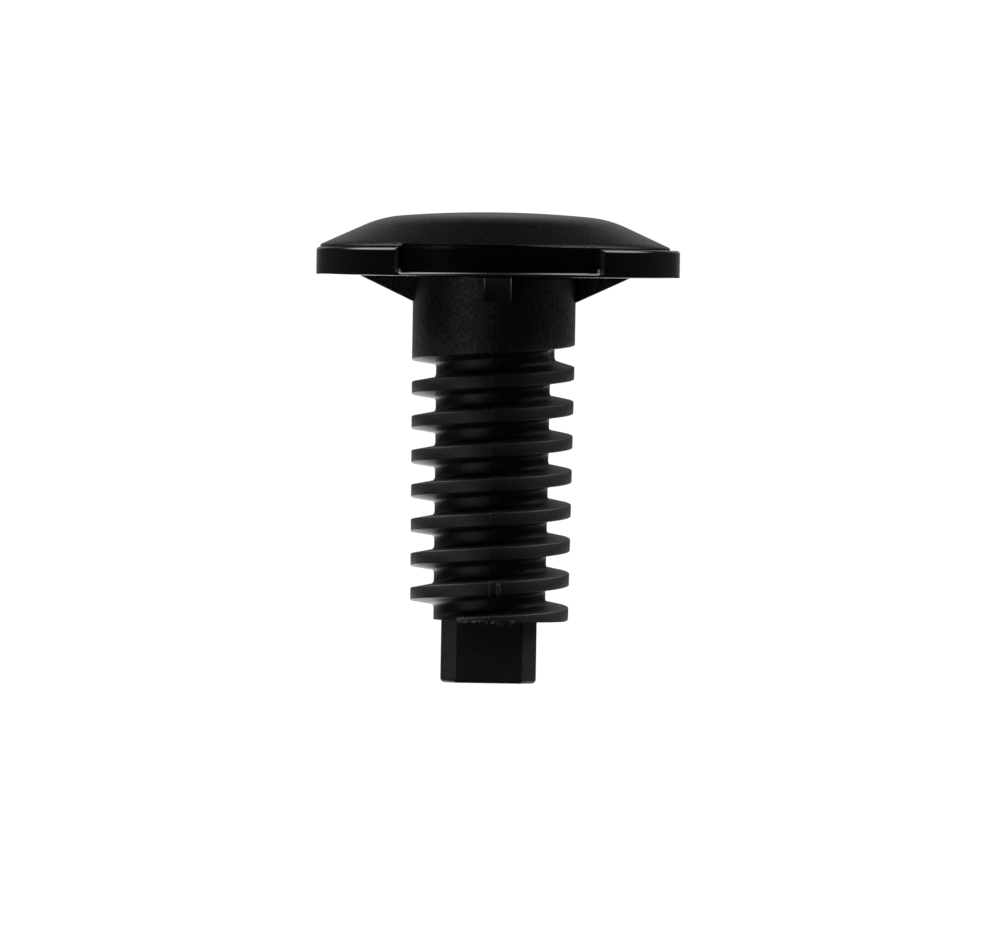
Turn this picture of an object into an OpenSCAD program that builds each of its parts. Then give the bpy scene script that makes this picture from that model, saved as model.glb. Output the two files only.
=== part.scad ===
// Leveling leg for a small cabinet or appliance, moulded in one piece in black plastic.
// A domed round foot stands on a plain collar and four gussets, a coarse right-hand thread
// runs down the shank, and a square drive closes the far end.
// Units are millimetres. The leg stands on its drive end with the foot uppermost: the origin
// is the centre of the drive's end face, +Z runs up the shank and the foot's recesses face
// -Y and +Y.

/* [Foot] */
// Diameter of the foot over its rim
foot_d = 38; // [31:0.5:48]
// Height of the rim's outer wall, from the underside to the ledge on top
rim_h = 2.95; // [2:0.05:5]
// Radius of the rim's top edge
rim_edge_r = 0.4; // [0.1:0.05:0.6]
// Radius of the rim's bottom edge
rim_foot_r = 0.25; // [0.05:0.05:0.6]
// Width of the ledge between the rim and the dome, its rounded edge included
ledge_w = 0.65; // [0.45:0.05:1.5]
// Height of the small step from the ledge up to the dome
dome_step = 0.25; // [0.05:0.05:1]
// Slope of the dome's outer skirt, in degrees
skirt_angle = 24.5; // [15:0.5:35]
// Width of the skirt, measured along the radius
skirt_w = 4.6; // [2:0.1:6]
// Radius of the shoulder between the skirt and the crown
shoulder_r = 12; // [6:0.5:16]
// Radius of the shallow crown that bears on the floor
crown_r = 115; // [60:1:200]

/* [Recesses] */
// Width of each of the two recesses in the rim, measured straight across its mouth
recess_w = 21.5; // [10:0.5:24]
// Depth of a recess at its foot, from the rim inwards
recess_depth = 1; // [0.8:0.05:2]
// Amount by which the recess's back wall leans inwards over the height of the rim
recess_lean = 0.1; // [0.05:0.05:0.3]
// Thickness of the lip that closes the bottom of a recess
lip_t = 0.4; // [0.2:0.05:1]
// Radius of a recess's two lower corners
recess_corner_r = 0.5; // [0.2:0.05:1]
// Azimuth of a recess's side walls, in degrees from its middle: they flare outwards
recess_flare = 45; // [40:1:55]

/* [Gussets] */
// Number of gussets under the foot
gusset_count = 4; // [3:1:8]
// Radius at which a gusset dies into the underside of the foot
gusset_reach = 14.4; // [10:0.1:15]
// Slope of a gusset's lower edge, in degrees
gusset_angle = 25.2; // [15:0.1:50]
// Thickness of a gusset
gusset_t = 2.65; // [1:0.05:4]

/* [Shank and thread] */
// Length of the shank, from the foot's underside to the end of the thread
shank_len = 36; // [25:0.05:60]
// Diameter of the collar, which is also the thread's crest diameter at the top
collar_d = 17; // [14:0.1:20.5]
// Length of plain collar between the foot and the first groove, on the +X side
collar_len = 7.05; // [4:0.05:12]
// Amount by which the crest diameter shrinks towards the end of the thread
crest_taper = 0.5; // [0:0.05:1]
// Root diameter of the thread at the collar
root_d = 12; // [9:0.1:13.5]
// Amount by which the root diameter shrinks towards the end of the thread
root_taper = 0.3; // [0:0.05:1]
// Pitch of the single-start right-hand thread
pitch = 3.6; // [3:0.05:5]
// Width of the flat crest
crest_w = 1.3; // [0.8:0.05:1.6]
// Angle between a flank and a plane square to the axis, in degrees
flank_angle = 10; // [4:0.5:15]
// Radius where a flank meets the root
root_fillet = 0.45; // [0.2:0.05:0.6]
// Angle over which the first groove runs out of the collar, in degrees
run_out = 60; // [30:5:120]

/* [Drive] */
// Square drive, across flats
drive_af = 10; // [8:0.1:12]
// Length of the drive beyond the thread
drive_len = 6.5; // [4:0.1:12]
// Chamfer on the drive's four long corners, measured along a flat
drive_chamfer = 1.5; // [0.5:0.1:2.5]
// Radius round the drive's end face
drive_end_r = 0.4; // [0.1:0.05:1]

/* [Hidden] */
$fn = 96;

plastic = [0.12, 0.125, 0.13];
overlap = 1;                // depth by which one form runs into the next, inside the material
arc_steps = 6;              // chords in an edge radius or the shoulder
crown_steps = 10;           // chords in half of the crown

// Heights up the leg
thread_end_z = drive_len;
underside_z = thread_end_z + shank_len;
rim_top_z = underside_z + rim_h;
dome_edge_z = rim_top_z + dome_step;

// Outline of the dome, worked inwards from its edge
foot_r = foot_d / 2;
dome_r = foot_r - ledge_w;
skirt_in_r = dome_r - skirt_w;
skirt_in_z = dome_edge_z + skirt_w * tan(skirt_angle);
shoulder_x = skirt_in_r - shoulder_r * sin(skirt_angle);
shoulder_z = skirt_in_z - shoulder_r * cos(skirt_angle);
crown_angle = asin(shoulder_x / (crown_r - shoulder_r));
crown_z = shoulder_z - (crown_r - shoulder_r) * cos(crown_angle);
top_z = crown_z + crown_r;

// Thread section and the helix's datum, the middle of the first groove on the +X side
collar_r = collar_d / 2;
root_r = root_d / 2;
groove_half = (pitch - crest_w) / 2;
groove_top_z = underside_z - collar_len;
groove_z = groove_top_z - groove_half;
groove_mouth = 0.6;         // how far the cutter stands out beyond the crest
helix_step = 10;            // degrees between the cutter's sections
thread_len = groove_z - thread_end_z;

// Points of an arc from angle a0 to a1 about a centre
function arc(centre, r, a0, a1, steps) =
    [for (i = [0:steps]) centre + r * [cos(a0 + (a1 - a0) * i / steps), sin(a0 + (a1 - a0) * i / steps)]];

// Half outline of the foot, from the middle of the underside round to the top of the crown
function foot_outline() = concat(
    [[0, underside_z]],
    arc([foot_r - rim_foot_r, underside_z + rim_foot_r], rim_foot_r, -90, 0, arc_steps),
    arc([foot_r - rim_edge_r, rim_top_z - rim_edge_r], rim_edge_r, 0, 90, arc_steps),
    [[dome_r, rim_top_z], [dome_r, dome_edge_z]],
    arc([shoulder_x, shoulder_z], shoulder_r, 90 - skirt_angle, 90 - crown_angle, arc_steps),
    arc([0, crown_z], crown_r, 90 - crown_angle + crown_angle / crown_steps, 90, crown_steps - 1)
);

// The +X half of a recess cutter: a straight cut, its wall flared and its lower corner rounded
module recess_half() {
    mouth_x = recess_w / 2;
    mouth_y = sqrt(foot_r * foot_r - mouth_x * mouth_x);
    wall = mouth_x * cos(recess_flare) - mouth_y * sin(recess_flare);
    floor_z = underside_z + lip_t;
    reach = foot_r;
    rotate([0, 0, recess_flare])
        rotate([90, 0, 0])
            linear_extrude(foot_r + overlap)
                translate([wall, floor_z]) {
                    translate([-reach, recess_corner_r])
                        square([reach, top_z]);
                    translate([-reach, 0])
                        square([reach - recess_corner_r, top_z]);
                    translate([-recess_corner_r, recess_corner_r])
                        circle(recess_corner_r);
                }
}

// Cutter for one whole recess, open to the dome above and closed by the lip below
module recess() {
    back_r = foot_r - recess_depth;
    difference() {
        union() {
            recess_half();
            mirror([1, 0, 0]) recess_half();
        }
        translate([0, 0, underside_z])
            cylinder(h = rim_h, r1 = back_r, r2 = back_r - recess_lean);
        translate([0, 0, underside_z + rim_h])
            cylinder(h = top_z, r = back_r - recess_lean);
    }
}

// Domed disc with its rim cut back at the front and the back
module foot() {
    difference() {
        rotate_extrude() polygon(foot_outline());
        recess();
        mirror([0, 1, 0]) recess();
    }
}

// Triangular web from the collar to the foot's underside
module gusset() {
    drop = (gusset_reach - collar_r) * tan(gusset_angle);
    rotate([90, 0, 0])
        linear_extrude(gusset_t, center = true)
            polygon([
                [root_r, underside_z + overlap],
                [gusset_reach, underside_z + overlap],
                [gusset_reach, underside_z],
                [collar_r, underside_z - drop],
                [root_r, underside_z - drop]
            ]);
}

// Share of the way from the first groove down to the end of the thread
function down(z) = (groove_z - z) / thread_len;
function root_at(z) = root_r - root_taper / 2 * down(z);

// Upper half of the groove's section, as [radius beyond the root, height above its middle]
depth = collar_r - root_r;
fillet_turn = 90 - flank_angle;  // degrees turned by the fillet from root to flank
root_half = groove_half - depth * tan(flank_angle) - root_fillet * tan(fillet_turn / 2);
half_section = concat(
    arc([root_fillet, root_half], root_fillet, 180, 180 - fillet_turn, 3),
    [[depth + groove_mouth, groove_half + groove_mouth * tan(flank_angle)]]
);
section = concat(
    [for (i = [len(half_section) - 1:-1:0]) [half_section[i][0], -half_section[i][1]]],
    half_section
);

// Right-hand helical cutter: it lifts clear of the collar at the top and leaves at the end plane
module helical_groove() {
    low_angle = -360 * (groove_z - thread_end_z + groove_half + groove_mouth) / pitch;
    steps = ceil((run_out - low_angle) / helix_step);
    count = len(section);
    points = [
        for (i = [0:steps])
            let (
                a = run_out - i * (run_out - low_angle) / steps,
                z = groove_z + pitch * a / 360,
                lift = (depth + groove_mouth) * max(0, a / run_out),
                r = root_at(z) + lift
            )
            for (p = section) [(r + p[0]) * cos(a), (r + p[0]) * sin(a), z + p[1]]
    ];
    sides = [
        for (i = [0:steps - 1], j = [0:count - 1])
            let (
                a = i * count + j,
                b = i * count + (j + 1) % count
            )
            for (f = [[a, b, b + count], [a, b + count, a + count]]) f
    ];
    top_cap = [for (j = [count - 1:-1:0]) j];
    end_cap = [for (j = [0:count - 1]) steps * count + j];
    polyhedron(points, concat(sides, [top_cap, end_cap]));
}

// Collar and tapered thread blank in one turning, with the helical groove cut into it
module shank() {
    difference() {
        rotate_extrude()
            polygon([
                [0, thread_end_z],
                [collar_r - crest_taper / 2, thread_end_z],
                [collar_r, groove_top_z],
                [collar_r, underside_z + overlap],
                [0, underside_z + overlap]
            ]);
        helical_groove();
    }
}

// Side view of the drive, its end edges rounded, running into the shank
module drive_side() {
    length = drive_len + overlap;
    translate([-drive_af / 2, drive_end_r])
        square([drive_af, length - drive_end_r]);
    translate([-drive_af / 2 + drive_end_r, 0])
        square([drive_af - 2 * drive_end_r, length]);
    for (side = [-1, 1])
        translate([side * (drive_af / 2 - drive_end_r), drive_end_r])
            circle(drive_end_r);
}

// The common part of one side view extruded along Y and along X
module crossed(length) {
    intersection() {
        rotate([90, 0, 0])
            linear_extrude(length, center = true) children();
        rotate([90, 0, 90])
            linear_extrude(length, center = true) children();
    }
}

// Square drive with chamfered corners, standing on its rounded end
module drive() {
    flat = drive_af / 2 - drive_chamfer;
    half = drive_af / 2;
    intersection() {
        linear_extrude(drive_len + overlap)
            polygon([
                [half, -flat], [half, flat], [flat, half], [-flat, half],
                [-half, flat], [-half, -flat], [-flat, -half], [flat, -half]
            ]);
        crossed(2 * drive_af) drive_side();
    }
}

module leveling_leg() {
    color(plastic) {
        foot();
        for (i = [0:gusset_count - 1])
            rotate([0, 0, 360 * i / gusset_count]) gusset();
        shank();
        drive();
    }
}

leveling_leg();
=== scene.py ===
import math

import bmesh
import bpy
from mathutils import Matrix, Quaternion, Vector, noise


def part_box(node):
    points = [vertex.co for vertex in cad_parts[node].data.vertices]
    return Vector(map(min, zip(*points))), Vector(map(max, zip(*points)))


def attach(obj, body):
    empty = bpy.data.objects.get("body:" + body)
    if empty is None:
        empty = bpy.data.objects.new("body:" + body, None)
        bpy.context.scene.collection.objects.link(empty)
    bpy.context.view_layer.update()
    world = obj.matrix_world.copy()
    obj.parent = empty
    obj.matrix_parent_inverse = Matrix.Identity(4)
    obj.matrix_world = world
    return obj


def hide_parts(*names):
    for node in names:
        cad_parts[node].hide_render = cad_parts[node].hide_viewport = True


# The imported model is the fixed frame: one body, "root", with one node. Its box gives the foot's
# radius and the height of the crown.
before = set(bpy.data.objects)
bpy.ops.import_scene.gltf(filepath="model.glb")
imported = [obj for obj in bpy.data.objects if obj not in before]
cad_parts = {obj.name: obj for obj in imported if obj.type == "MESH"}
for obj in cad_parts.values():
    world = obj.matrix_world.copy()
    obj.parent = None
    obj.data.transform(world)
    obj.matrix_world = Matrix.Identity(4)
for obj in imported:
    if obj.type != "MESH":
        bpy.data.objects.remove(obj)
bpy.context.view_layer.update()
leg_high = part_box("leveling_leg")[1]
millimetre = 0.001
foot_r = leg_high.x / millimetre
crown_top = leg_high.z / millimetre


# The camera stands far off with a long lens, level with the foot, so nothing converges and the
# foot is seen edge on. It is rolled a little, which leaves the leg slightly askew.
camera_distance = 1.2
camera_height = 0.043
view_width = 0.10485
aim = Vector((0.00089, 0, 0.02235))
camera_roll = math.radians(0.95)

camera_data = bpy.data.cameras.new("camera")
camera_data.sensor_width = 36
camera_data.lens = camera_data.sensor_width * camera_distance / view_width
camera_data.clip_start = 0.1
camera_data.clip_end = 50
camera = bpy.data.objects.new("camera", camera_data)
camera.location = (aim.x, -camera_distance, camera_height)
camera.rotation_mode = "QUATERNION"
look = (aim - camera.location).to_track_quat("-Z", "Y")
camera.rotation_quaternion = look @ Quaternion((0, 0, 1), camera_roll)
bpy.context.scene.collection.objects.link(camera)
bpy.context.scene.camera = camera


# The foot: a domed disc of black plastic, moulded in one with the rest of the leg. Its outline is
# drawn in millimetres and turned about the leg's axis. The rim is then spread a little and moved
# to one side of the dome, and the whole foot leans slightly on the shank.
rim_height = 2.95
rim_edge = 0.4
rim_foot = 0.13
rim_spread = 0.08
rim_offset = 0.34
ledge_width = 0.65
dome_step = 0.25
dome_edge = 0.1
skirt_slope = math.radians(24.5)
skirt_width = 4.6
skirt_rings = 6
shoulder = 12
crown = 115
foot_steps = 240
foot_lean = 0.0044
quarter_turn = math.pi / 2
weld = 1e-4


def only(kind, parts):
    """The parts that are of one kind: vertices or edges."""
    return [part for part in parts if isinstance(part, kind)]


def everything(form):
    """All the vertices, edges and faces of a form."""
    return form.verts[:] + form.edges[:] + form.faces[:]


def line_to(form, start, x, z):
    """Carries an outline in a straight line to (x, z) and returns its new end."""
    end = form.verts.new((x, 0, z))
    form.edges.new((start, end))
    return end


def arc_round(form, start, x, z, turn, steps):
    """Carries an outline round the centre (x, z), anticlockwise for a positive turn."""
    swept = bmesh.ops.spin(form, geom=[start], cent=(x, 0, z), axis=(0, -1, 0), dvec=(0, 0, 0),
                           angle=turn, steps=steps, use_merge=False, use_duplicate=False)
    return only(bmesh.types.BMVert, swept["geom_last"])[0]


def turn_on_axis(form, angle, steps, rise=0, merge=False, copies=False):
    """Turns a form about the leg's axis, rising at each step, into one skin or into copies."""
    bmesh.ops.spin(form, geom=everything(form), cent=(0, 0, 0), axis=(0, 0, 1), dvec=(0, 0, rise),
                   angle=angle, steps=steps, use_merge=merge, use_duplicate=copies)


def blank(name, form):
    """Makes an object of a finished form, still in millimetres, for the moulding to take up."""
    bmesh.ops.recalc_face_normals(form, faces=form.faces)
    mesh = bpy.data.meshes.new(name)
    form.to_mesh(mesh)
    form.free()
    return bpy.data.objects.new(name, mesh)


rim_r = foot_r + rim_spread
dome_r = foot_r - ledge_width
rim_from = dome_r + 0.01
skirt_r = dome_r - skirt_width
shoulder_x = skirt_r - shoulder * math.sin(skirt_slope)
crown_slope = math.asin(shoulder_x / (crown - shoulder))
shoulder_z = crown_top - crown + (crown - shoulder) * math.cos(crown_slope)
skirt_z = shoulder_z + shoulder * math.cos(skirt_slope)
dome_edge_z = skirt_z - skirt_width * math.tan(skirt_slope)
rim_top = dome_edge_z - dome_step
underside = rim_top - rim_height

foot_form = bmesh.new()
pen = foot_form.verts.new((0, 0, underside))
pen = line_to(foot_form, pen, foot_r - rim_foot, underside)
pen = arc_round(foot_form, pen, foot_r - rim_foot, underside + rim_foot, quarter_turn, 4)
pen = line_to(foot_form, pen, foot_r, rim_top - rim_edge)
pen = arc_round(foot_form, pen, foot_r - rim_edge, rim_top - rim_edge, quarter_turn, 8)
pen = line_to(foot_form, pen, dome_r, rim_top)
pen = line_to(foot_form, pen, dome_r, dome_edge_z - dome_edge)
for i in range(skirt_rings + 1):
    inwards = dome_edge + (skirt_width - dome_edge) * i / skirt_rings
    pen = line_to(foot_form, pen, dome_r - inwards, dome_edge_z + inwards * math.tan(skirt_slope))
pen = arc_round(foot_form, pen, shoulder_x, shoulder_z, skirt_slope - crown_slope, 10)
pen = arc_round(foot_form, pen, 0, crown_top - crown, crown_slope, 14)
turn_on_axis(foot_form, math.tau, foot_steps, merge=True)
bmesh.ops.remove_doubles(foot_form, verts=foot_form.verts, dist=weld)
for vert in foot_form.verts:
    if math.hypot(vert.co.x, vert.co.y) > rim_from:
        vert.co.xy *= rim_r / foot_r
        vert.co.x += rim_offset
    vert.co.z += foot_lean * vert.co.x
foot = blank("foot", foot_form)


# The two recesses, at the front and the back, where the dome's half of the mould reaches down
# past the rim to the thin lip. Each is cut by a plug on a slab, made in the flat with its corners
# and its mouth rounded, sliced across, and then wrapped round the rim with the lip's slight tilt.
recess_half = 11.35
recess_shift = 0.17
recess_depth = 0.82
recess_flare = 0.35
recess_lean = 0.04
recess_corner = 0.5
recess_mouth = 0.42
recess_tilt = 0.0095
lip = 0.48
slab_margin = 1
slab_gap = 0.01
slab_thickness = 2
wrap_step = 0.45
wrap_cuts = 26


def extent(edge, axis):
    """How far an edge reaches along one axis: 0, 1 or 2."""
    return abs(edge.verts[0].co[axis] - edge.verts[1].co[axis])


def soften(form, parts, size, steps, affect="EDGES"):
    """Rounds edges, or the corners of an outline, in a number of steps. One step is a chamfer."""
    bmesh.ops.bevel(form, geom=parts, offset=size, offset_type="OFFSET",
                    segments=steps, profile=0.5, affect=affect, material=-1)


def slice_at(form, x):
    """Slices a form in two at x and keeps both halves."""
    bmesh.ops.bisect_plane(form, geom=everything(form), dist=weld,
                           plane_co=(x, 0, 0), plane_no=(1, 0, 0))


recess_foot = underside + lip
recess_height = crown_top + slab_margin - recess_foot
mouth_y = rim_r + slab_gap
recess_form = bmesh.new()
slab = bmesh.ops.create_cube(recess_form, size=1)["verts"]
slab_size = (2 * (recess_half + slab_margin), slab_thickness, recess_height + 2 * slab_margin)
slab_middle = (0, mouth_y + slab_thickness / 2, recess_foot + recess_height / 2)
bmesh.ops.scale(recess_form, vec=slab_size, verts=slab)
bmesh.ops.translate(recess_form, vec=slab_middle, verts=slab)
inner_face = min(recess_form.faces, key=lambda face: face.calc_center_median().y)
bmesh.ops.inset_region(recess_form, faces=[inner_face], thickness=slab_margin,
                       use_even_offset=True)
plug_face = bmesh.ops.extrude_discrete_faces(recess_form, faces=[inner_face])["faces"][0]
back_share = (recess_half - recess_flare) / recess_half
bmesh.ops.translate(recess_form, vec=(0, -recess_depth - slab_gap, 0), verts=plug_face.verts)
bmesh.ops.scale(recess_form, vec=(back_share, 1, 1), verts=plug_face.verts)
corner_edges = [edge for edge in recess_form.edges
                if extent(edge, 1) > recess_depth / 2
                and max(vert.co.y for vert in edge.verts) < mouth_y + weld
                and max(vert.co.z for vert in edge.verts) < underside + rim_height]
soften(recess_form, corner_edges, recess_corner, 8)
mouth_edges = [edge for edge in recess_form.edges
               if all(abs(vert.co.y - mouth_y) < weld for vert in edge.verts)
               and any(face.calc_center_median().y < rim_r - recess_depth / 4
                       for face in edge.link_faces)]
soften(recess_form, mouth_edges, recess_mouth, 5)
for i in range(-wrap_cuts, wrap_cuts + 1):
    slice_at(recess_form, i * wrap_step)
for vert in recess_form.verts:
    reach = vert.co.y
    if reach < rim_r - recess_depth / 2:
        reach -= recess_lean * (vert.co.z - underside) / rim_height
    turn = (vert.co.x + recess_shift) / rim_r
    height = vert.co.z + recess_tilt * vert.co.x
    vert.co = (reach * math.sin(turn), -reach * math.cos(turn), height)
turn_on_axis(recess_form, math.pi, 1, copies=True)
bmesh.ops.translate(recess_form, vec=(rim_offset, 0, 0), verts=recess_form.verts)
recesses = blank("recesses", recess_form)


# The four gussets: triangular webs that stiffen the foot against the collar, with rounded edges.
# One is drawn in profile, given its thickness and copied round the axis. The front and the back
# one are moved to the side with the rim.
collar_r = 8.54
gusset_count = 4
gusset_root = 7
gusset_reach = 14.2
gusset_slope = math.radians(25.2)
gusset_thickness = 2.9
gusset_round = 0.22
side_gusset_offset = -0.1
sunk = 0.5

gusset_drop = (gusset_reach - gusset_root) * math.tan(gusset_slope)
gusset_form = bmesh.new()
first = gusset_form.verts.new((gusset_root, 0, underside + sunk))
pen = line_to(gusset_form, first, gusset_root, underside - gusset_drop)
pen = line_to(gusset_form, pen, gusset_reach + sunk / math.tan(gusset_slope), underside + sunk)
gusset_form.edges.new((pen, first))
web = bmesh.ops.contextual_create(gusset_form, geom=gusset_form.edges[:])["faces"]
far_side = bmesh.ops.extrude_face_region(gusset_form, geom=web)["geom"]
bmesh.ops.translate(gusset_form, vec=(0, gusset_thickness, 0),
                    verts=only(bmesh.types.BMVert, far_side))
bmesh.ops.translate(gusset_form, vec=(0, -gusset_thickness / 2, 0), verts=gusset_form.verts)
bmesh.ops.recalc_face_normals(gusset_form, faces=gusset_form.faces)
sloping_edges = [edge for edge in gusset_form.edges
                 if extent(edge, 0) > sunk and min(vert.co.z for vert in edge.verts) < underside]
soften(gusset_form, sloping_edges, gusset_round, 4)
turn_on_axis(gusset_form, math.tau * (gusset_count - 1) / gusset_count, gusset_count - 1,
             copies=True)
for vert in gusset_form.verts:
    vert.co.x += rim_offset if abs(vert.co.y) > abs(vert.co.x) else side_gusset_offset
gussets = blank("gussets", gusset_form)


# The shank: a plain collar over a coarse right-hand thread, from two side halves of the mould that
# are a little out of line, with a fin between them. One groove's outline is swept up the helix,
# drawn in towards the end, run out into the collar and cut square, its last thin wedge torn off.
thread_end = 6.5
collar_length = 7.05
collar_from = 38
pitch = 3.6
crest_width = 1.3
crest_round = 0.1
crest_taper = 0.25
root_r = 6
root_taper = 0.15
root_fillet = 0.42
upper_flank = math.radians(10)
lower_flank = math.radians(7)
run_out = math.radians(60)
thread_steps = 120
turns = 11
turns_below = 9
mismatch = 0.07
mismatch_fade = 2
fin_height = 0.09
fin_half = 0.07
torn_from = -3.5
torn_from_fade = 0.3
torn_top = 7.15
torn_top_fade = 0.1

groove_half = (pitch - crest_width) / 2
groove_z = underside - collar_length - groove_half
depth = collar_r - root_r
thread_length = groove_z - thread_end


def clamp(value):
    """Holds a value between 0 and 1."""
    return max(0, min(1, value))


def cut_square(form, height, clear_below):
    """Cuts a form square across, clears the part beyond and returns the edges of the opening."""
    cut = bmesh.ops.bisect_plane(form, geom=everything(form), dist=weld,
                                 plane_co=(0, 0, height), plane_no=(0, 0, 1),
                                 clear_inner=clear_below, clear_outer=not clear_below)
    return only(bmesh.types.BMEdge, cut["geom_cut"])


lowest_groove = groove_z - turns_below * pitch
groove_low = lowest_groove - groove_half
groove_high = lowest_groove + groove_half
shank_form = bmesh.new()
pen = shank_form.verts.new((collar_r, 0, lowest_groove - pitch / 2))
crest_below = line_to(shank_form, pen, collar_r, groove_low)
root_low = line_to(shank_form, crest_below, root_r, groove_low + depth * math.tan(upper_flank))
root_high = line_to(shank_form, root_low, root_r, groove_high - depth * math.tan(lower_flank))
crest_above = line_to(shank_form, root_high, collar_r, groove_high)
line_to(shank_form, crest_above, collar_r, lowest_groove + pitch / 2)
soften(shank_form, [root_low, root_high], root_fillet, 4, affect="VERTICES")
soften(shank_form, [crest_below, crest_above], crest_round, 3, affect="VERTICES")
turn_on_axis(shank_form, math.tau, thread_steps, rise=pitch / thread_steps)
turn_on_axis(shank_form, 0, turns - 1, rise=pitch, copies=True)
bmesh.ops.remove_doubles(shank_form, verts=shank_form.verts, dist=10 * weld)
slice_at(shank_form, -fin_half)
slice_at(shank_form, fin_half)
for vert in shank_form.verts:
    reach = math.hypot(vert.co.x, vert.co.y)
    turn = math.atan2(vert.co.y, vert.co.x)
    down = clamp((groove_z - vert.co.z) / thread_length)
    crest_here = collar_r - crest_taper * down
    root_here = root_r - root_taper * down
    turn += math.tau * round((vert.co.z - groove_z) / pitch - turn / math.tau)
    share = (reach - root_r) / depth
    share += (1 - share) * clamp(turn / run_out)
    share *= 1 - (clamp((torn_top - vert.co.z) / torn_top_fade)
                  * clamp((torn_from - vert.co.x) / torn_from_fade))
    from_fin = -vert.co.x if vert.co.y > 0 else vert.co.x
    vert.co.z += mismatch * clamp(from_fin / fin_half) * clamp(1 - from_fin / mismatch_fade)
    fin = fin_height * clamp(1 - abs(vert.co.x) / fin_half)
    draw_in = (root_here + (crest_here - root_here) * share + fin) / reach
    vert.co.x *= draw_in
    vert.co.y *= draw_in
collar_ring = cut_square(shank_form, collar_from, clear_below=False)
raised = bmesh.ops.extrude_edge_only(shank_form, edges=collar_ring)["geom"]
raised_verts = only(bmesh.types.BMVert, raised)
bmesh.ops.translate(shank_form, vec=(0, 0, underside + sunk - collar_from), verts=raised_verts)
raised_ring = [edge for edge in only(bmesh.types.BMEdge, raised)
               if all(vert in raised_verts for vert in edge.verts)]
bmesh.ops.contextual_create(shank_form, geom=raised_ring)
end_ring = cut_square(shank_form, thread_end, clear_below=True)
bmesh.ops.contextual_create(shank_form, geom=end_ring)
shank = blank("shank", shank_form)


# Moulding marks on the thread: a ragged lip of torn flash on the last thin wedge of the crest, and
# two squashed lumps where the parting line crosses the lowest full turn. The flash is a film that
# flares and curls. It is given no thickness: its two faces lie on each other.
flash_r = 8.1
flash_from = math.radians(-26)
flash_to = math.radians(21)
flash_top = 7.14
flash_rise = 0.07
flash_hang = 0.62
flash_short = 0.25
flash_set_back = 0.07
flash_flare = 0.25
flash_curl = 0.24
flash_steps = 64
lumps = ((0, 9.98, (0.17, 0.26, 0.85)), (0.9, 9.9, (0.3, 0.26, 0.78)))
lump_r = 8.26
lump_sunk = 0.02
lump_rough = 0.12

marks_form = bmesh.new()
bmesh.ops.create_grid(marks_form, x_segments=flash_steps, y_segments=5, size=0.5)
bmesh.ops.solidify(marks_form, geom=everything(marks_form), thickness=1)
for vert in marks_form.verts:
    share = vert.co.x + 0.5
    hang = 0.5 - vert.co.y
    ragged = noise.noise((9 * share, 0, 3.7)) + 0.6 * noise.noise((31 * share, 1.3, 0))
    curl = noise.noise((14 * share, 2 * hang, 8.1)) + 0.5 * noise.noise((40 * share, 5 * hang, 2.4))
    length = flash_hang * (0.75 + 0.45 * ragged) * clamp(12 * share) * clamp(9 * (1 - share))
    reach = flash_r - flash_set_back * (1.15 - hang) + flash_flare * math.sqrt(hang)
    reach += flash_curl * (0.3 + 0.7 * hang) * curl
    turn = flash_from + (flash_to - flash_from) * share
    x = reach * math.sin(turn)
    top = flash_top + flash_rise * x
    drop = (top - thread_end + length - flash_short) * hang
    vert.co = (x, -reach * math.cos(turn), top - drop)
for x, z, size in lumps:
    lump = bmesh.ops.create_icosphere(marks_form, subdivisions=3, radius=1)["verts"]
    bmesh.ops.scale(marks_form, vec=size, verts=lump)
    for vert in lump:
        vert.co.x += lump_rough * noise.noise(vert.co * 3)
    y = lump_sunk - math.sqrt(lump_r ** 2 - x ** 2)
    bmesh.ops.translate(marks_form, vec=(x, y, z), verts=lump)
marks = blank("marks", marks_form)


# The square drive at the lower end, for a wrench, moulded in one with the shank: a plain bar with
# chamfered corners and a softened end face.
drive_width = 10
drive_chamfer = 1.5
drive_edge = 0.2
drive_end = 0.45
drive_length = thread_end + 0.04


def upright(form):
    """The edges of the drive that run up the leg."""
    return [edge for edge in form.edges if extent(edge, 2) > drive_length / 2]


drive_form = bmesh.new()
drive_verts = bmesh.ops.create_cube(drive_form, size=1)["verts"]
bmesh.ops.scale(drive_form, vec=(drive_width, drive_width, drive_length), verts=drive_verts)
bmesh.ops.translate(drive_form, vec=(0, 0, drive_length / 2), verts=drive_verts)
soften(drive_form, upright(drive_form), drive_chamfer, 1)
soften(drive_form, upright(drive_form), drive_edge, 3)
end_edges = [edge for edge in drive_form.edges if max(vert.co.z for vert in edge.verts) < weld]
soften(drive_form, end_edges, drive_end, 5)
drive = blank("drive", drive_form)


# The moulding: the leg is one piece of plastic from a single shot, so the foot, its recesses, the
# gussets, the shank, the marks and the drive are joined into one closed skin.
crease = math.radians(32)
joins = (
    (recesses, "DIFFERENCE"),
    (gussets, "UNION"),
    (shank, "UNION"),
    (drive, "UNION"),
    (marks, "UNION"))

for form, operation in joins:
    join = foot.modifiers.new(form.name, "BOOLEAN")
    join.object = form
    join.operation = operation
    join.solver = "MANIFOLD"
    bpy.context.scene.collection.objects.link(form)
bpy.context.scene.collection.objects.link(foot)
joined = foot.evaluated_get(bpy.context.evaluated_depsgraph_get())
moulded = bpy.data.meshes.new_from_object(joined)
for form in (foot, recesses, gussets, shank, drive, marks):
    bpy.data.objects.remove(form)
moulded.transform(Matrix.Scale(millimetre, 4))
moulded.shade_smooth()
moulded.set_sharp_from_angle(angle=crease)
moulded.name = "leg_moulding"
moulding = bpy.data.objects.new("leg_moulding", moulded)
bpy.context.scene.collection.objects.link(moulding)
even_light = moulding.modifiers.new("even_light", "WEIGHTED_NORMAL")
even_light.mode = "FACE_AREA"
even_light.keep_sharp = True
even_light.weight = 80


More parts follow.
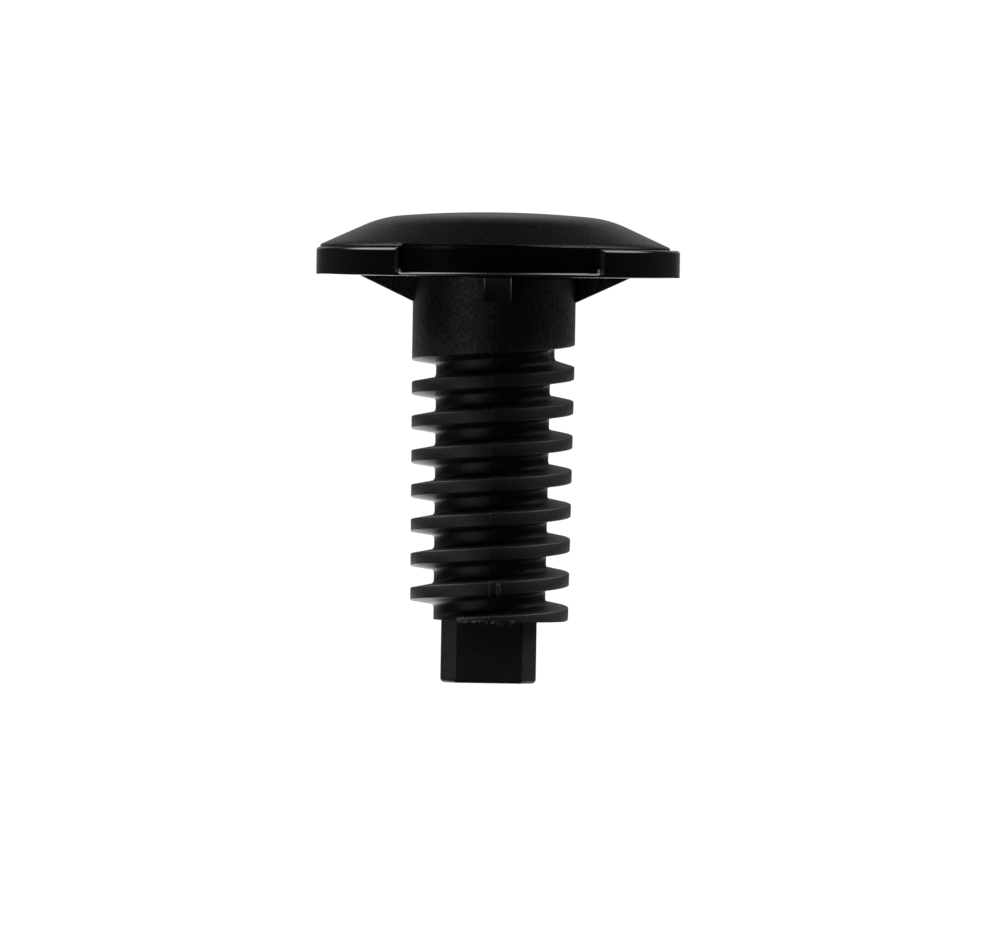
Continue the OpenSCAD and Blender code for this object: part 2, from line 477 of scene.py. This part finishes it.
# The plastic's finish, all of it black: an uneven grain that is full on the collar and faint on the
# thread, a glossy rim without grain, dull recesses with rough upright edges, and a dome with a
# weak, mottled gloss. The dome's darker black is painted shade.
shank_roughness = 0.52
rim_roughness = 0.16
dome_roughness = 0.28
edge_roughness = 0.5
shank_shine = 0.5
dome_shine = 0.09
recess_shine = 0.12
leg_black = (0.0022, 0.0023, 0.0027, 1)
# Painted shade: the dome's base colour is darker than the rest of the leg and stands in for the
# shade on its textured face.
dome_shade_black = (0.0007, 0.0008, 0.0009, 1)
grains_per_mm = 3.2
grain_relief = 0.045
thread_grain = 0.35
thread_grain_top = 33
collar_grain_foot = 34.5
mottle = 3


def spread(tree, value, low, high, at_low, at_high):
    """Carries a value from the range low to high onto at_low to at_high, with soft ends."""
    ramp = tree.nodes.new("ShaderNodeMapRange")
    ramp.interpolation_type = "SMOOTHSTEP"
    ramp.inputs["From Min"].default_value = low
    ramp.inputs["From Max"].default_value = high
    ramp.inputs["To Min"].default_value = at_low
    ramp.inputs["To Max"].default_value = at_high
    tree.links.new(value, ramp.inputs["Value"])
    return ramp.outputs["Result"]


def calculate(tree, operation, *values):
    """One step of arithmetic on node outputs or plain numbers."""
    step = tree.nodes.new("ShaderNodeMath")
    step.operation = operation
    for socket, value in zip(step.inputs, values):
        if isinstance(value, (int, float)):
            socket.default_value = value
        else:
            tree.links.new(value, socket)
    return step.outputs[0]


def between(tree, share, at_none, at_full):
    """Goes from one value to another as a share rises from 0 to 1."""
    gain = calculate(tree, "SUBTRACT", at_full, at_none)
    return calculate(tree, "MULTIPLY_ADD", share, gain, at_none)


plastic = bpy.data.materials.new("black_moulded_plastic")
plastic.use_nodes = True
finish = plastic.node_tree
skin = finish.nodes["Principled BSDF"]
place = finish.nodes.new("ShaderNodeTexCoord")
in_mm = finish.nodes.new("ShaderNodeMapping")
in_mm.inputs["Scale"].default_value = (1 / millimetre, 1 / millimetre, 1 / millimetre)
finish.links.new(place.outputs["Object"], in_mm.inputs["Vector"])
along = finish.nodes.new("ShaderNodeSeparateXYZ")
finish.links.new(in_mm.outputs[0], along.inputs[0])
leg_x = along.outputs["X"]
leg_z = along.outputs["Z"]
flattened = finish.nodes.new("ShaderNodeVectorMath")
flattened.operation = "MULTIPLY"
flattened.inputs[1].default_value = (1, 1, 0)
finish.links.new(in_mm.outputs[0], flattened.inputs[0])
from_axis = finish.nodes.new("ShaderNodeVectorMath")
from_axis.operation = "LENGTH"
finish.links.new(flattened.outputs[0], from_axis.inputs[0])
radius = from_axis.outputs["Value"]
grain = finish.nodes.new("ShaderNodeTexNoise")
grain.inputs["Scale"].default_value = grains_per_mm
grain.inputs["Detail"].default_value = 3
grain.inputs["Roughness"].default_value = 0.6
finish.links.new(in_mm.outputs[0], grain.inputs["Vector"])

foot_share = spread(finish, leg_z, underside - 0.2, underside - 0.1, 0, 1)
dome_share = spread(finish, leg_z, rim_top + 0.02, rim_top + 0.12, 0, 1)
rim_share = calculate(finish, "SUBTRACT", foot_share, dome_share)
under_ledge = spread(finish, leg_z, rim_top - 0.25, rim_top - 0.1, 1, 0)
inside_rim = spread(finish, radius, rim_r - 0.58, rim_r - 0.43, 1, 0)
recess_share = calculate(finish, "MULTIPLY", under_ledge, inside_rim)
recess_share = calculate(finish, "MULTIPLY", foot_share, recess_share)

mouth_middle = rim_offset + recess_shift
mouth_half = rim_r * math.sin(recess_half / rim_r)
from_middle = calculate(finish, "ABSOLUTE", calculate(finish, "SUBTRACT", leg_x, mouth_middle))
from_edge = calculate(finish, "ABSOLUTE", calculate(finish, "SUBTRACT", from_middle, mouth_half))
near_edge = spread(finish, from_edge, 0.08, 0.2, 1, 0)
over_lip = spread(finish, leg_z, recess_foot - 0.2, recess_foot - 0.1, 0, 1)
edge_share = calculate(finish, "MULTIPLY", rim_share, near_edge)
edge_share = calculate(finish, "MULTIPLY", edge_share, over_lip)

textured = spread(finish, leg_z, thread_grain_top, collar_grain_foot, thread_grain, 1)
textured = calculate(finish, "MULTIPLY", textured, calculate(finish, "SUBTRACT", 1, rim_share))
uneven = calculate(finish, "SUBTRACT", grain.outputs["Fac"], 0.5)
uneven = calculate(finish, "MULTIPLY", uneven, textured)
relief = finish.nodes.new("ShaderNodeBump")
relief.inputs["Distance"].default_value = millimetre
finish.links.new(calculate(finish, "MULTIPLY", uneven, grain_relief), relief.inputs["Height"])
finish.links.new(relief.outputs[0], skin.inputs["Normal"])

roughness = between(finish, foot_share, shank_roughness, rim_roughness)
roughness = between(finish, dome_share, roughness, dome_roughness)
roughness = between(finish, edge_share, roughness, edge_roughness)
finish.links.new(roughness, skin.inputs["Roughness"])
shine = between(finish, dome_share, shank_shine, dome_shine)
shine = between(finish, recess_share, shine, recess_shine)
shine = calculate(finish, "MULTIPLY", shine, calculate(finish, "MULTIPLY_ADD", uneven, mottle, 1))
finish.links.new(shine, skin.inputs["Specular IOR Level"])
# The dome's darker base colour mixed in here is painted shade.
base_colour_with_painted_shade = finish.nodes.new("ShaderNodeMix")
base_colour_with_painted_shade.data_type = "RGBA"
base_colour_with_painted_shade.inputs["A"].default_value = leg_black
base_colour_with_painted_shade.inputs["B"].default_value = dome_shade_black
finish.links.new(dome_share, base_colour_with_painted_shade.inputs["Factor"])
finish.links.new(base_colour_with_painted_shade.outputs["Result"], skin.inputs["Base Color"])
moulding.data.materials.clear()
moulding.data.materials.append(plastic)
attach(moulding, "root")
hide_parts("leveling_leg")


# The floor: plain white to the camera and dark to all else, so that it neither lights nor shades
# the leg. It is clear from below.
paper_white = 1.05

floor_form = bmesh.new()
bmesh.ops.create_circle(floor_form, cap_ends=True, segments=64, radius=6)
floor_mesh = bpy.data.meshes.new("floor")
floor_form.to_mesh(floor_mesh)
floor_form.free()
floor = bpy.data.objects.new("floor", floor_mesh)
bpy.context.scene.collection.objects.link(floor)


def white_to_camera(tree, output, dim_shader):
    """The camera sees plain white, while every other ray sees the dimmer shader."""
    seen = tree.nodes.new("ShaderNodeEmission")
    seen.inputs["Strength"].default_value = paper_white
    rays = tree.nodes.new("ShaderNodeLightPath")
    choice = tree.nodes.new("ShaderNodeMixShader")
    tree.links.new(rays.outputs["Is Camera Ray"], choice.inputs[0])
    tree.links.new(dim_shader.outputs[0], choice.inputs[1])
    tree.links.new(seen.outputs[0], choice.inputs[2])
    tree.links.new(choice.outputs[0], output.inputs["Surface"])


floor_white = bpy.data.materials.new("floor_white")
floor_white.use_nodes = True
floor_tree = floor_white.node_tree
floor_dim = floor_tree.nodes.new("ShaderNodeEmission")
floor_dim.inputs["Strength"].default_value = 0
floor_output = floor_tree.nodes["Material Output"]
white_to_camera(floor_tree, floor_output, floor_dim)
floor_side = floor_tree.nodes.new("ShaderNodeNewGeometry")
clear = floor_tree.nodes.new("ShaderNodeBsdfTransparent")
one_sided = floor_tree.nodes.new("ShaderNodeMixShader")
floor_tree.links.new(floor_side.outputs["Backfacing"], one_sided.inputs[0])
floor_tree.links.new(floor_output.inputs["Surface"].links[0].from_socket, one_sided.inputs[1])
floor_tree.links.new(clear.outputs[0], one_sided.inputs[2])
floor_tree.links.new(one_sided.outputs[0], floor_output.inputs["Surface"])
floor_mesh.materials.append(floor_white)
floor.visible_glossy = False
floor.visible_diffuse = False
floor.visible_shadow = False


# The studio: a surround that the camera sees as plain white. To the leg it is nearly dark, with a
# glow overhead at the front, a low pale backdrop behind, and soft round lights: two high at the
# sides, two nearly overhead and five low ones.
sky_colour = (0.95, 0.97, 1, 1)
# Each light's azimuth from the front, elevation, reach and soft edge in degrees, and its strength
soft_lights = (
    (-100, 50, 33, 14, 5.8),
    (98, 50, 33, 14, 4.8),
    (-40, -16, 17, 10, 2.4),
    (-152, -28, 24, 12, 5),
    (150, -28, 24, 12, 3),
    (100, -38, 28, 14, 1),
    (-78, 72, 16, 13, 3),
    (78, 72, 16, 13, 3),
    (180, -11, 15, 9, 3.5))

surround = bpy.data.worlds.new("surround")
surround.use_nodes = True
bpy.context.scene.world = surround
sky = surround.node_tree
direction = sky.nodes.new("ShaderNodeTexCoord")
parts = sky.nodes.new("ShaderNodeSeparateXYZ")
sky.links.new(direction.outputs["Generated"], parts.inputs[0])
sideways = calculate(sky, "ABSOLUTE", parts.outputs["X"])
backwards = parts.outputs["Y"]
upwards = parts.outputs["Z"]
dusk = spread(sky, backwards, -0.6, 0.6, 0.015, 0.05)
overhead = spread(sky, upwards, 0.3, 0.9, 0, 0.35)
general = calculate(sky, "MULTIPLY_ADD", overhead, spread(sky, backwards, -0.3, 0.2, 1, 0), dusk)
low_band = calculate(sky, "MULTIPLY", spread(sky, upwards, 0.34, 0.56, 1, 0),
                     spread(sky, upwards, -0.05, 0.3, 0.3, 1))
backdrop = calculate(sky, "MULTIPLY", spread(sky, sideways, 0.1, 0.55, 1, 0),
                     spread(sky, backwards, 0, 0.3, 0, 0.47))
light = calculate(sky, "MULTIPLY_ADD", backdrop, low_band, general)
for azimuth, elevation, reach, soft_edge, strength in soft_lights:
    side = math.radians(azimuth)
    lift = math.radians(elevation)
    out = math.cos(lift)
    towards = sky.nodes.new("ShaderNodeVectorMath")
    towards.operation = "DOT_PRODUCT"
    towards.inputs[1].default_value = (math.sin(side) * out, -math.cos(side) * out, math.sin(lift))
    sky.links.new(direction.outputs["Generated"], towards.inputs[0])
    limit = math.cos(math.radians(reach))
    core = math.cos(math.radians(reach - soft_edge))
    lamp = spread(sky, towards.outputs["Value"], limit, core, 0, strength)
    light = calculate(sky, "ADD", light, lamp)
dim_sky = sky.nodes["Background"]
dim_sky.inputs["Color"].default_value = sky_colour
sky.links.new(light, dim_sky.inputs["Strength"])
white_to_camera(sky, sky.nodes["World Output"], dim_sky)

bpy.context.scene.view_settings.view_transform = "Standard"
